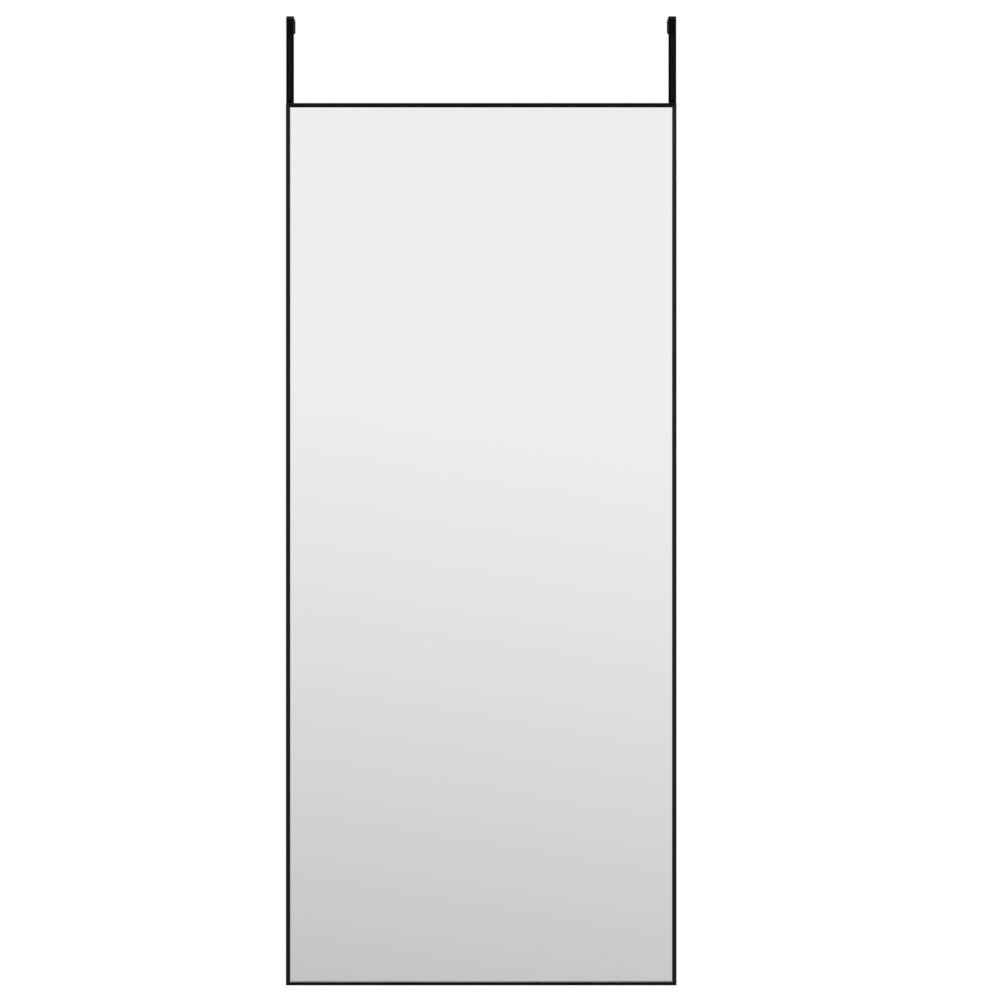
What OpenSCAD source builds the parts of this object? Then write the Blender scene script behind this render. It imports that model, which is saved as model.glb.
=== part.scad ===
// Over-the-door mirror.
// Four mitred aluminium bars hold a silvered glass pane and its backing board. Two bent steel
// hooks are screwed to the back of the side bars and reach over the top edge of a door.
//
// X runs to the viewer's right, Y from the viewer into the door, Z up. The origin is the middle
// of the door's top front edge: the hooks rest on z = 0, and the pads and bumpers touch y = 0.

/* [Frame] */
// Width of the frame, outside
frame_w = 400; // [250:5:700]
// Height of the frame, outside
frame_h = 903.5; // [500:0.5:1600]
// Width of the front face that shows round the glass
face_w = 4.5; // [3.5:0.1:8]
// Width of the sloping inner edge of that face
bevel_w = 1.2; // [0.5:0.1:1.8]
// Thickness of the face at its outer side
lip_t = 1.2; // [1:0.1:2.5]
// Thickness of the face at its inner edge
lip_edge_t = 0.6; // [0.3:0.1:0.9]
// Width of the rear rim of each bar
rim_w = 7.5; // [7:0.1:12]
// Wall of the bars at their sides
wall_t = 1; // [0.7:0.1:1.2]
// Thickness of the web between the board and the screw channel
web_t = 1; // [0.8:0.1:2]
// Depth of the screw channel
channel_d = 3.6; // [3.2:0.1:6]
// Thickness of the two lips that close the screw channel
rear_lip_t = 1.2; // [0.8:0.1:2]
// Rounding of the long outer edges
edge_r = 0.4; // [0.2:0.05:0.6]
// Hairline joint at each mitre
mitre_gap = 0.08; // [0.04:0.02:0.2]

/* [Pane] */
// Thickness of the mirror glass
glass_t = 3; // [2:0.5:5]
// Ground arris along the glass edges
arris = 0.4; // [0.2:0.1:0.6]
// Sanded edge of the backing board
board_edge = 0.2; // [0.1:0.1:0.5]
// Thickness of the fibre backing board
board_t = 3; // [2:0.5:5]
// Room round the glass and the board inside the bars
pane_room = 0.6; // [0.3:0.1:1]
// Thickness of the mounting tape between glass and board
tape_t = 1; // [0.5:0.1:2]
// Width of the mounting tape
tape_w = 12; // [6:1:20]
// Distance from the edge of the glass to the tape
tape_inset = 4; // [2:1:10]
// Play between the board and the web
stack_play = 0.2; // [0.1:0.05:0.5]

/* [Corner keys] */
// Thickness of the corner keys
key_t = 2; // [1.5:0.1:2.6]
// Room between a key and the sides of its channel
key_room = 0.1; // [0.05:0.05:0.2]
// Length of a leg, from the outer corner of the frame
key_leg = 34; // [24:1:60]
// How far the legs that take the hook screws reach past the lower one
key_past = 14; // [4:1:40]
// Distance from the outer corner to each set screw
set_screw_at = 20; // [13:0.5:22]
// How far a set screw stands out of the channel into its slot
set_screw_proud = 0.5; // [0.2:0.1:0.8]

/* [Hooks] */
// Thickest door that the hooks take
door_t = 40; // [30:1:60]
// Height of the hooks above the frame
hook_rise = 90.5; // [60:0.5:160]
// Width of the hook strap
strap_w = 8; // [7:0.5:12]
// Thickness of the hook strap
strap_t = 2; // [1.9:0.1:3]
// Inside radius of the two bends
bend_r = 1.5; // [1:0.1:2.5]
// Height of the rear leg, outside
leg_h = 15; // [12:1:40]
// Rounding of the two corners of the rear leg
leg_corner_r = 2; // [1:0.5:3]
// How far the strap reaches past its lower screw
strap_past = 8; // [4:0.5:30]
// Width of the pressed bead
bead_w = 2.6; // [2:0.1:3.4]
// Height of the pressed bead
bead_h = 0.6; // [0.3:0.05:0.8]
// Distance from the top of the hook to the bead
bead_start = 20; // [18:1:30]
// Distance from the bead to the top of the frame
bead_end = 2.5; // [2:0.5:10]

/* [Fasteners] */
// Thread diameter of all screws
screw_d = 3; // [2.5:0.1:3.5]
// Diameter of a countersunk head
head_d = 5.6; // [5.2:0.1:6]
// Distance from the top of the frame to the first hook screw
hook_screw_at = 33; // [28:0.5:60]
// Distance between the two hook screws
hook_screw_pitch = 25; // [8:0.5:60]
// Room round a screw in the strap and in the slot
screw_room = 0.1; // [0.05:0.05:0.2]
// How far a hook screw reaches past the corner key
screw_past = 0.8; // [0.4:0.1:1]
// Hexagon key that turns the set screws, across its flats
hex_key = 1.5; // [1.2:0.1:1.7]
// Length of the cross recess in the hook screws
cross_l = 2.8; // [2:0.1:3.2]

/* [Pads and bumpers] */
// Thickness of the rubber pads inside the hooks
pad_t = 1; // [0.6:0.1:2]
// Step from the strap's edge to a pad
pad_step = 0.5; // [0.3:0.1:1]
// Length of the pad behind the strap
strap_pad_h = 18; // [8:1:30]
// Diameter of a bumper
bumper_d = 7; // [5:0.5:9]
// Rounding of a bumper's rear edge
bumper_r = 0.8; // [0.3:0.1:1]
// Distance from a bottom corner key up to the middle of a bumper
bumper_from_key = 26; // [4:1:90]

/* [Hidden] */
$fn = 64;
eps = 1;                                  // cutters reach this far past what they cut
thread_room = 0.05;                       // between a screw and its tapped hole
pad_corner_r = 1.2;                       // corners of the pads
pad_off_bend = 1;                         // from a bend to the pads beside it
key_nose = 1;                             // corners taken off a key's leg
barb_grip = 0.5;                          // how far a bumper's barb reaches behind each lip
barb_rim = 0.8;                           // height of the barb's straight rim
point_h = 0.4;                            // cone point of a set screw
cross_w = 0.6;                            // width of the cross recess
cross_depth = 1;

// Section of a bar: u runs inwards from the bar's outer side, v backwards from its front face.
glass_v = lip_t;
tape_v = glass_v + glass_t;
board_v = tape_v + tape_t;
web_v = board_v + board_t + stack_play;
channel_v = web_v + web_t;
rear_lip_v = channel_v + channel_d;
frame_d = rear_lip_v + rear_lip_t;
slot_w = screw_d + 2 * screw_room;
screw_u = rim_w / 2;                      // centre line of the slot, the keys and the screws

// Places in the part's own frame
back_y = -pad_t - strap_t;                // rear plane of the frame, where the straps lie
front_y = back_y - frame_d;
hook_top = pad_t + strap_t;
frame_top = hook_top - hook_rise;
frame_bottom = frame_top - frame_h;
leg_y = door_t + pad_t;                   // inner face of a hook's rear leg
leg_bottom = hook_top - leg_h;
last_screw_at = hook_screw_at + hook_screw_pitch;
strap_bottom = frame_top - last_screw_at - strap_past;
bend_out_r = bend_r + strap_t;
bend_z = hook_top - bend_out_r;           // where the straight legs end and the bends begin
pad_end_z = bend_z - pad_off_bend;
pane_edge = wall_t + pane_room;           // from the frame's outside to the edge of the glass
tape_edge = pane_edge + tape_inset;       // and to the tape
set_screw_l = channel_d + set_screw_proud;
hook_screw_l = strap_t + rear_lip_t + key_t + screw_past;

frame_black = [0.055, 0.055, 0.06];
hook_black = [0.04, 0.04, 0.042];
mirror_grey = [0.86, 0.87, 0.87];
board_brown = [0.52, 0.38, 0.25];
tape_white = [0.88, 0.88, 0.86];
zinc_grey = [0.66, 0.68, 0.7];
screw_black = [0.09, 0.09, 0.095];
rubber_black = [0.05, 0.05, 0.05];

// ---------------------------------------------------------------- placing

// Draws its children along Y: a shape in X and Z, from y to y + depth
module along_y(y, depth) {
    translate([0, y + depth, 0]) rotate([90, 0, 0]) linear_extrude(depth) children();
}

// Turns a solid that stands along +Z so that it points along +Y
module point_back() {
    rotate([-90, 0, 0]) children();
}

// Puts a piece that is drawn for the bottom left corner into any corner. Its own X and Z run
// inwards from that corner, and its own Y backwards from the front face.
module in_corner(right, top) {
    translate([right ? frame_w / 2 : -frame_w / 2, front_y, top ? frame_top : frame_bottom])
        mirror([right ? 1 : 0, 0, 0]) mirror([0, 0, top ? 1 : 0]) children();
}

// Mirrors a piece of the left side for the right one
module on_side(right) {
    mirror([right ? 1 : 0, 0, 0]) children();
}

// ---------------------------------------------------------------- frame bars

// What a convex corner loses to its rounding: the corner lies at the origin and the shape in +X +Y
module corner_waste(r) {
    difference() {
        translate([-eps, -eps]) square(r + eps);
        translate([r, r]) circle(r);
    }
}

// Face and bevel, rebate for the pane, web, and a screw channel that is slotted at the back
module bar_section() {
    difference() {
        union() {
            square([wall_t, frame_d]);
            polygon([[0, 0], [face_w - bevel_w, 0], [face_w, lip_t - lip_edge_t],
                     [face_w, lip_t], [0, lip_t]]);
            translate([0, web_v]) square([rim_w, frame_d - web_v]);
        }
        translate([wall_t, channel_v]) square([rim_w - 2 * wall_t, channel_d]);
        translate([screw_u - slot_w / 2, rear_lip_v - eps]) square([slot_w, rear_lip_t + 2 * eps]);
        corner_waste(edge_r);
        translate([0, frame_d]) mirror([0, 1]) corner_waste(edge_r);
        translate([rim_w, frame_d]) rotate(180) corner_waste(edge_r);
        translate([rim_w, web_v]) mirror([1, 0]) corner_waste(edge_r);
    }
}

// A bar along +Z with its outer side at x = 0, cut at 45 degrees at both ends
module bar(length) {
    line = mitre_gap / sqrt(2);
    inner = rim_w + eps;
    intersection() {
        linear_extrude(length) bar_section();
        along_y(-eps, frame_d + 2 * eps)
            polygon([[-eps, line - eps], [inner, inner + line],
                     [inner, length - inner - line], [-eps, length + eps - line]]);
    }
}

module side_bar(right) {
    color(frame_black) in_corner(right, false) bar(frame_h);
}

module cross_bar(top) {
    color(frame_black) in_corner(false, top) mirror([0, 0, 1]) rotate([0, 90, 0]) bar(frame_w);
}

// ---------------------------------------------------------------- pane

// A rectangle with its corners taken off
module nicked_rectangle(a, b, nick) {
    polygon([[nick, 0], [a - nick, 0], [a, nick], [a, b - nick],
             [a - nick, b], [nick, b], [0, b - nick], [0, nick]]);
}

// A plate in the rebate, from v backwards, with its sharp edges taken off
module pane(v, thickness, edge) {
    w = frame_w - 2 * pane_edge;
    h = frame_h - 2 * pane_edge;
    translate([-w / 2, front_y + v, frame_bottom + pane_edge])
        intersection() {
            linear_extrude(h) nicked_rectangle(w, thickness, edge);
            rotate([90, 0, 90]) linear_extrude(w) nicked_rectangle(thickness, h, edge);
        }
}

module mirror_glass() {
    color(mirror_grey) pane(glass_v, glass_t, arris);
}

module backing_board() {
    color(board_brown) pane(board_v, board_t, board_edge);
}

// The upright strips run the full height, and the level ones lie between them
module upright_tape(right) {
    color(tape_white) in_corner(right, false)
        translate([tape_edge, tape_v, tape_edge]) cube([tape_w, tape_t, frame_h - 2 * tape_edge]);
}

module level_tape(top) {
    start = tape_edge + tape_w + tape_inset;
    color(tape_white) in_corner(false, top)
        translate([start, tape_v, tape_edge]) cube([frame_w - 2 * start, tape_t, tape_w]);
}

// ---------------------------------------------------------------- corner keys

// A flat L that slides into the channels of two bars. Its upright leg has its own length, and
// both legs lose their outer corners so that they start easily.
module key_outline(upright) {
    near = wall_t + key_room;
    far = rim_w - wall_t - key_room;
    n = key_nose;
    polygon([[near, near], [key_leg - n, near], [key_leg, near + n], [key_leg, far - n],
             [key_leg - n, far], [far, far], [far, upright - n], [far - n, upright],
             [near + n, upright], [near, upright - n]]);
}

// A hole or a screw on a key's upright leg, at a distance from the outer corner
module on_upright(distance) {
    translate([screw_u, 0, distance]) children();
}

module on_level(distance) {
    translate([distance, 0, screw_u]) children();
}

module tapped_hole() {
    translate([0, rear_lip_v - key_t - eps, 0]) point_back() cylinder(d = screw_d, h = key_t + 2 * eps);
}

module corner_key(right, top) {
    upright = top ? last_screw_at + key_past : key_leg;
    color(zinc_grey) in_corner(right, top)
        difference() {
            along_y(rear_lip_v - key_t, key_t) key_outline(upright);
            on_upright(set_screw_at) tapped_hole();
            on_level(set_screw_at) tapped_hole();
            if (top)
                for (i = [0, 1]) on_upright(hook_screw_at + i * hook_screw_pitch) tapped_hole();
        }
}

// A headless screw that bears on the web and wedges its key against the lips
module set_screw() {
    r = screw_d / 2 - thread_room;
    socket_depth = set_screw_l / 2;
    translate([0, channel_v, 0]) point_back()
        difference() {
            union() {
                cylinder(r1 = r - point_h, r2 = r, h = point_h);
                translate([0, 0, point_h]) cylinder(r = r, h = set_screw_l - point_h);
            }
            translate([0, 0, set_screw_l - socket_depth])
                cylinder(d = hex_key / cos(30), h = socket_depth + eps, $fn = 6);
        }
}

module set_screws(right, top) {
    color(screw_black) in_corner(right, top) {
        on_upright(set_screw_at) set_screw();
        on_level(set_screw_at) set_screw();
    }
}

// ---------------------------------------------------------------- hooks

// Side view of a hook in Y and Z: strap, bridge over the door, short rear leg
module hook_side() {
    front_bend_y = back_y + bend_out_r;
    rear_bend_y = leg_y + strap_t - bend_out_r;
    translate([back_y, strap_bottom]) square([strap_t, bend_z - strap_bottom]);
    translate([leg_y, leg_bottom]) square([strap_t, bend_z - leg_bottom]);
    translate([front_bend_y, hook_top - strap_t]) square([rear_bend_y - front_bend_y, strap_t]);
    translate([front_bend_y, bend_z]) mirror([1, 0]) bend();
    translate([rear_bend_y, bend_z]) bend();
}

// A quarter ring of strap
module bend() {
    intersection() {
        difference() {
            circle(bend_out_r);
            circle(bend_r);
        }
        square(bend_out_r + eps);
    }
}

// The long round-ended swelling that stiffens the strap. It is as wide as bead_w on the plane
// y = 0 and stands bead_h in front of it.
module bead() {
    r = (bead_w * bead_w / 4 + bead_h * bead_h) / (2 * bead_h);
    low = frame_top + bead_end + bead_w / 2;
    high = hook_top - bead_start - bead_w / 2;
    translate([0, r - bead_h, 0]) {
        translate([0, 0, low]) cylinder(r = r, h = high - low);
        translate([0, 0, low]) sphere(r = r);
        translate([0, 0, high]) sphere(r = r);
    }
}

// What the two corners of a strap end lose, at the bottom edge z = 0 of a strap along Y
module strap_end_waste(r) {
    along_y(-eps, strap_t + 2 * eps)
        for (side = [0, 1]) mirror([side, 0]) translate([-strap_w / 2, 0]) corner_waste(r);
}

// Clearance hole with a countersink that opens at the strap's rear face, y = 0
module countersunk_hole() {
    r = screw_d / 2 + screw_room;
    head_r = head_d / 2 + screw_room;
    point_back() {
        translate([0, 0, -strap_t - eps]) cylinder(r = r, h = strap_t + 2 * eps);
        translate([0, 0, -(head_r - r)]) cylinder(r1 = r, r2 = head_r, h = head_r - r);
    }
}

module hook_screw_places() {
    for (i = [0, 1])
        translate([0, 0, frame_top - hook_screw_at - i * hook_screw_pitch]) children();
}

module hook(right) {
    color(hook_black) on_side(right) translate([screw_u - frame_w / 2, 0, 0])
        difference() {
            union() {
                translate([-strap_w / 2, 0, 0]) rotate([90, 0, 90]) linear_extrude(strap_w) hook_side();
                translate([0, back_y, 0]) bead();
            }
            translate([0, back_y + strap_t, 0]) bead();
            translate([0, back_y, strap_bottom]) strap_end_waste(strap_w / 2);
            translate([0, leg_y, leg_bottom]) strap_end_waste(leg_corner_r);
            hook_screw_places() translate([0, back_y + strap_t, 0]) countersunk_hole();
        }
}

// A countersunk screw that enters from behind, its head flush with the strap's rear face
module hook_screw() {
    r = screw_d / 2 - thread_room;
    head_r = head_d / 2;
    translate([0, back_y + strap_t, 0]) rotate([90, 0, 0])
        difference() {
            union() {
                cylinder(r1 = head_r, r2 = r, h = head_r - r);
                cylinder(r = r, h = hook_screw_l);
            }
            for (turn = [0, 90]) rotate(turn)
                translate([-cross_l / 2, -cross_w / 2, -eps]) cube([cross_l, cross_w, cross_depth + eps]);
        }
}

module hook_screws(right) {
    color(screw_black) on_side(right) translate([screw_u - frame_w / 2, 0, 0])
        hook_screw_places() hook_screw();
}

// ---------------------------------------------------------------- pads and bumpers

// A flat pad with round corners, a step narrower than the strap all round
module pad_outline(l) {
    w = strap_w - 2 * pad_step;
    r = pad_corner_r;
    difference() {
        translate([-w / 2, 0]) square([w, l]);
        for (side = [0, 1]) mirror([side, 0]) {
            translate([-w / 2, 0]) corner_waste(r);
            translate([-w / 2, l]) mirror([0, 1]) corner_waste(r);
        }
    }
}

// Three pads line the inside of a hook: behind the strap, under the bridge and on the rear leg
module on_hook(right) {
    color(rubber_black) on_side(right) translate([screw_u - frame_w / 2, 0, 0]) children();
}

module strap_pad(right) {
    on_hook(right) translate([0, 0, pad_end_z - strap_pad_h]) along_y(-pad_t, pad_t)
        pad_outline(strap_pad_h);
}

module seat_pad(right) {
    off_bend = bend_r + pad_off_bend;
    on_hook(right) translate([0, off_bend - pad_t, 0]) linear_extrude(pad_t)
        pad_outline(leg_y + pad_t - 2 * off_bend);
}

module leg_pad(right) {
    start = leg_bottom + pad_step;
    on_hook(right) translate([0, 0, start]) along_y(door_t, pad_t)
        pad_outline(pad_end_z - start);
}

// A rubber button whose barbed stem is pushed through the slot: half of its section, rear face up
module bumper_section() {
    r = bumper_d / 2;
    thick = pad_t + strap_t;
    stem_r = slot_w / 2 - screw_room;
    barb_r = slot_w / 2 + barb_grip;
    barb_top = rear_lip_t + screw_room;
    tip = barb_top + channel_d - 2 * screw_room;
    difference() {
        polygon([[0, thick], [r, thick], [r, 0], [stem_r, 0], [stem_r, -barb_top],
                 [barb_r, -barb_top], [barb_r, -barb_top - barb_rim], [stem_r / 2, -tip], [0, -tip]]);
        translate([r, thick]) rotate(180) corner_waste(bumper_r);
    }
}

module bumper(right) {
    color(rubber_black) on_side(right)
        translate([screw_u - frame_w / 2, back_y, frame_bottom + key_leg + bumper_from_key])
            point_back() rotate_extrude() bumper_section();
}

// ---------------------------------------------------------------- parts

side_bar(false);  // frame_left
side_bar(true);  // frame_right
cross_bar(true);  // frame_top
cross_bar(false);  // frame_bottom
mirror_glass();
backing_board();
upright_tape(false);  // tape_left
upright_tape(true);  // tape_right
level_tape(true);  // tape_top
level_tape(false);  // tape_bottom
corner_key(false, true);  // corner_key_top_left
corner_key(true, true);  // corner_key_top_right
corner_key(false, false);  // corner_key_bottom_left
corner_key(true, false);  // corner_key_bottom_right
set_screws(false, true);  // set_screws_top_left
set_screws(true, true);  // set_screws_top_right
set_screws(false, false);  // set_screws_bottom_left
set_screws(true, false);  // set_screws_bottom_right
hook(false);  // hook_left
hook(true);  // hook_right
hook_screws(false);  // hook_screws_left
hook_screws(true);  // hook_screws_right
strap_pad(false);  // strap_pad_left
strap_pad(true);  // strap_pad_right
seat_pad(false);  // seat_pad_left
seat_pad(true);  // seat_pad_right
leg_pad(false);  // leg_pad_left
leg_pad(true);  // leg_pad_right
bumper(false);  // bumper_left
bumper(true);  // bumper_right
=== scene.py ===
"""Over-the-door mirror: the looks of the finished product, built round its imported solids.

The bars, the corner keys, the hooks, the screws, the pads and the bumpers are made here by node
trees. The pane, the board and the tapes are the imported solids, with their finishes added.
Lengths are in metres. X runs to the viewer's right, Y into the door and Z up, and the origin is
the middle of the door's top front edge.
"""
import math

import bpy
from mathutils import Matrix, Vector


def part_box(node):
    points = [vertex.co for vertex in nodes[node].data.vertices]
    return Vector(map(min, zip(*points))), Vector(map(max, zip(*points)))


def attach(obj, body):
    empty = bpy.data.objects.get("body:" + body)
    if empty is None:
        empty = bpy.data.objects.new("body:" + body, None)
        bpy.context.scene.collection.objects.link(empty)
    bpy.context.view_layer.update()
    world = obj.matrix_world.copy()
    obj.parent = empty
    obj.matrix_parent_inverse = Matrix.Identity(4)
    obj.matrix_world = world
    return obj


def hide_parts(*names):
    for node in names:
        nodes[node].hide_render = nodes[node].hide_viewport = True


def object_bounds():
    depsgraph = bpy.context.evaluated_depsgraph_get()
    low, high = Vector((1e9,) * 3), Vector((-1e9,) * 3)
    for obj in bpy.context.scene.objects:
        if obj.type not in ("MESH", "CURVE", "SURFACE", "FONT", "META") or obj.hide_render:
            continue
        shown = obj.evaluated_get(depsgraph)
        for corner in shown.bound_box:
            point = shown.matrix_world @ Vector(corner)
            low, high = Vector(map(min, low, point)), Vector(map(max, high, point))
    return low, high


MM = 0.001

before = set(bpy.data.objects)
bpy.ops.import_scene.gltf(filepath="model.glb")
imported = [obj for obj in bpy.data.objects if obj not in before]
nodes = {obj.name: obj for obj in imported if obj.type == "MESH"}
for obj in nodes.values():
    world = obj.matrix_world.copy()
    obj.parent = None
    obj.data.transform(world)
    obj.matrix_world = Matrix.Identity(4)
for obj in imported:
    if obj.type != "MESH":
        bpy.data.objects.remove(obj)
cad_low, cad_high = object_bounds()

# ---------------------------------------------------------------- sizes

frame_low, frame_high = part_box("frame_left")[0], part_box("frame_right")[1]
hook_low, hook_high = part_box("hook_left")
back_y = frame_high.y                         # rear plane of the bars, where the straps lie
front_y = frame_low.y
frame_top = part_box("frame_top")[1].z
frame_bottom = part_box("frame_bottom")[0].z
hook_x = (hook_low.x + hook_high.x) / 2       # centre line of the left hook, slot and screws

face_width = 4.5 * MM                         # of a bar's front, out to its bevelled inner edge
bevel_width = 1.2 * MM
lip = 1.2 * MM                                # thickness in front of the pane
lip_edge = 0.6 * MM                           # what the bevel leaves of it
rim_width = 7.5 * MM                          # of a bar behind the pane
wall = 1 * MM
web_from_front = 8.4 * MM                     # to the web that closes the screw channel
web = 1 * MM
rear_lip = 1.2 * MM                           # thickness beside the slot
slot_width = 3.2 * MM
outer_round = 0.4 * MM                        # of a bar's long outer edges
inner_round = 0.12 * MM                       # of its other edges, as the die leaves them
deburr = 0.08 * MM                            # of the edges of the mitres

strap_width = 8 * MM
strap_thickness = 2 * MM
strap_edge = 0.35 * MM                        # rounding along the strap's edges
bend_radius = 2.5 * MM                        # to the middle of the strap
leg_corner = 2 * MM
bead_width = 3.2 * MM                         # with its soft feet
bead_height = 0.6 * MM
bead_below_top = 20 * MM
bead_above_frame = 2.5 * MM

screw_radius = 1.45 * MM
screw_pitch = 0.5 * MM
thread_depth = 0.2 * MM
head_radius = 2.8 * MM
hook_screws_down = (33 * MM, 58 * MM)         # from the top of the frame
hole_radius = 1.6 * MM
countersink_radius = 2.9 * MM
hex_key = 1.5 * MM
key_nose = 1 * MM                             # corners off the ends of a corner key
key_edge = 0.2 * MM
key_hole_radius = 1.5 * MM
set_screw_in = 20 * MM                        # from the corner of the frame to a set screw
set_screw_recess = 0.7 * MM                   # from the rear plane down to a set screw

pad_corner = 1.2 * MM
pad_edge = 0.25 * MM
bumper_round = 0.8 * MM

round_sides = 48                              # flat sides to a turned or drilled round
touching = 0.001 * MM                         # points this near to each other are one


# ---------------------------------------------------------------- node trees

def plug(tree, value, socket):
    """Wires a value or a socket to an input, or writes a plain number there."""
    if isinstance(value, Value):
        value = value.socket
    if isinstance(value, bpy.types.NodeSocket):
        tree.links.new(value, socket)
    else:
        socket.default_value = value


def add(tree, kind, inputs=(), **settings):
    """Adds a node, with its settings, and its inputs by name or by place."""
    node = tree.nodes.new(kind)
    for name, setting in settings.items():
        setattr(node, name, setting)
    for place, value in dict(inputs).items():
        plug(tree, value, node.inputs[place])
    return node


class Value:
    """A number in a node tree, so that a formula is written as one."""

    def __init__(self, tree, socket):
        self.tree = tree
        self.socket = socket

    def math(self, operation, *others):
        node = add(self.tree, "ShaderNodeMath", enumerate([self, *others]), operation=operation)
        return Value(self.tree, node.outputs[0])

    def __add__(self, other):
        return self.math("ADD", other)

    def __sub__(self, other):
        return self.math("SUBTRACT", other)

    def __mul__(self, other):
        return self.math("MULTIPLY", other)

    def __truediv__(self, other):
        return self.math("DIVIDE", other)

    def __radd__(self, other):
        return self.math("ADD", other)

    def __rsub__(self, other):
        return -self + other

    def __rmul__(self, other):
        return self.math("MULTIPLY", other)

    def __neg__(self):
        return self.math("MULTIPLY", -1.0)

    def at_least(self, other):
        return self.math("MAXIMUM", other)

    def at_most(self, other):
        return self.math("MINIMUM", other)

    def sin(self):
        return self.math("SINE")

    def cos(self):
        return self.math("COSINE")

    def size(self):
        return self.math("ABSOLUTE")

    def above(self, other):
        """1 where this is more than the other, and 0 elsewhere."""
        return self.math("GREATER_THAN", other)


def length_of(x, y):
    return (x * x + y * y).math("SQRT")


def split(tree, vector):
    parts = add(tree, "ShaderNodeSeparateXYZ", {0: vector})
    return [Value(tree, output) for output in parts.outputs]


def join(tree, x, y, z):
    return add(tree, "ShaderNodeCombineXYZ", {0: x, 1: y, 2: z}).outputs[0]


def position(tree):
    """The x, y and z of each point of a shape in the making."""
    return split(tree, add(tree, "GeometryNodeInputPosition").outputs[0])


def shape_tree(name, **sizes):
    """A tree with the given sizes as its inputs. Returns it and its inputs, as values."""
    tree = bpy.data.node_groups.new(name, "GeometryNodeTree")
    tree.interface.new_socket("Geometry", in_out="OUTPUT", socket_type="NodeSocketGeometry")
    kinds = {float: "NodeSocketFloat", int: "NodeSocketInt"}
    for label, size in sizes.items():
        socket = tree.interface.new_socket(label, in_out="INPUT", socket_type=kinds[type(size)])
        socket.default_value = size
    tree.interface.new_socket("finish", in_out="INPUT", socket_type="NodeSocketMaterial")
    given = tree.nodes.new("NodeGroupInput")
    values = {socket.name: Value(tree, socket) for socket in given.outputs if socket.name}
    return tree, values


def end_tree(tree, geometry, finish):
    """Real geometry, smooth, in one finish: what every tree ends in."""
    real = add(tree, "GeometryNodeRealizeInstances", {0: geometry}).outputs[0]
    smooth = add(tree, "GeometryNodeSetShadeSmooth", {"Geometry": real}).outputs[0]
    dressed = add(tree, "GeometryNodeSetMaterial", {"Geometry": smooth, "Material": finish})
    add(tree, "NodeGroupOutput", {0: dressed.outputs[0]})


def move_points(tree, geometry, position):
    return add(tree, "GeometryNodeSetPosition",
               {"Geometry": geometry, "Position": position}).outputs[0]


def listed(tree, values, kind):
    """Gives each point its own value, in order."""
    node = add(tree, "GeometryNodeIndexSwitch", data_type=kind)
    while len(node.index_switch_items) < len(values):
        node.index_switch_items.new()
    plug(tree, add(tree, "GeometryNodeInputIndex").outputs[0], node.inputs["Index"])
    for place, value in enumerate(values):
        plug(tree, value, node.inputs[place + 1])
    return node.outputs[0]


def outline(tree, corners, closed):
    """A line through corners, each given as x, y and the radius that rounds it."""
    line = add(tree, "GeometryNodeCurvePrimitiveLine").outputs[0]
    line = add(tree, "GeometryNodeResampleCurve", {"Curve": line, "Count": len(corners)}).outputs[0]
    places = listed(tree, [join(tree, x, y, 0.0) for x, y, _ in corners], "VECTOR")
    line = move_points(tree, line, places)
    line = add(tree, "GeometryNodeSetSplineCyclic", {0: line, "Cyclic": closed}).outputs[0]
    rounding = listed(tree, [radius for _, _, radius in corners], "FLOAT")
    steps = 4
    return add(tree, "GeometryNodeFilletCurve", {"Curve": line, "Count": steps, "Radius": rounding,
                                                 "Limit Radius": True}, mode="POLY").outputs[0]


def flat_grid(tree, around, rows):
    """A grid to roll up. Returns it, each point's turn, and its place along, from 0 to 1."""
    grid = add(tree, "GeometryNodeMeshGrid",
               {"Size X": 1.0, "Size Y": 1.0, "Vertices X": around + 1, "Vertices Y": rows + 1})
    u, v, _ = position(tree)
    return grid.outputs[0], u * (2 * math.pi), v + 0.5


def rolled(tree, grid, turn, radius, height):
    """Rolls a grid up round Z and closes its seam, and its ends where the radius is 0."""
    tube = move_points(tree, grid, join(tree, radius * turn.cos(), radius * turn.sin(), height))
    return add(tree, "GeometryNodeMergeByDistance",
               {"Geometry": tube, "Distance": touching}).outputs[0]


def swept_section(tree, section):
    """Sweeps a closed section up Z in four rings, at 0, 1, 2 and 3. Returns the mesh, the x, y and
    ring of each point, and the x and y of the way inwards."""
    ring_count = 4
    along = add(tree, "GeometryNodeInputTangent").outputs[0]
    marked = add(tree, "GeometryNodeStoreNamedAttribute",
                 {"Geometry": section, "Name": "along_section", "Value": along},
                 data_type="FLOAT_VECTOR", domain="POINT").outputs[0]
    last_ring = (0.0, 0.0, ring_count - 1.0)
    path = add(tree, "GeometryNodeCurvePrimitiveLine", {"End": last_ring}).outputs[0]
    rings = add(tree, "GeometryNodeResampleCurve", {"Curve": path, "Count": ring_count}).outputs[0]
    mesh = add(tree, "GeometryNodeCurveToMesh",
               {"Curve": rings, "Profile Curve": marked, "Fill Caps": True}).outputs[0]
    x, y, ring = position(tree)
    tangent = add(tree, "GeometryNodeInputNamedAttribute", {"Name": "along_section"},
                  data_type="FLOAT_VECTOR").outputs[0]
    tangent_x, tangent_y, _ = split(tree, tangent)
    return mesh, x, y, ring, -tangent_y, tangent_x


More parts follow.
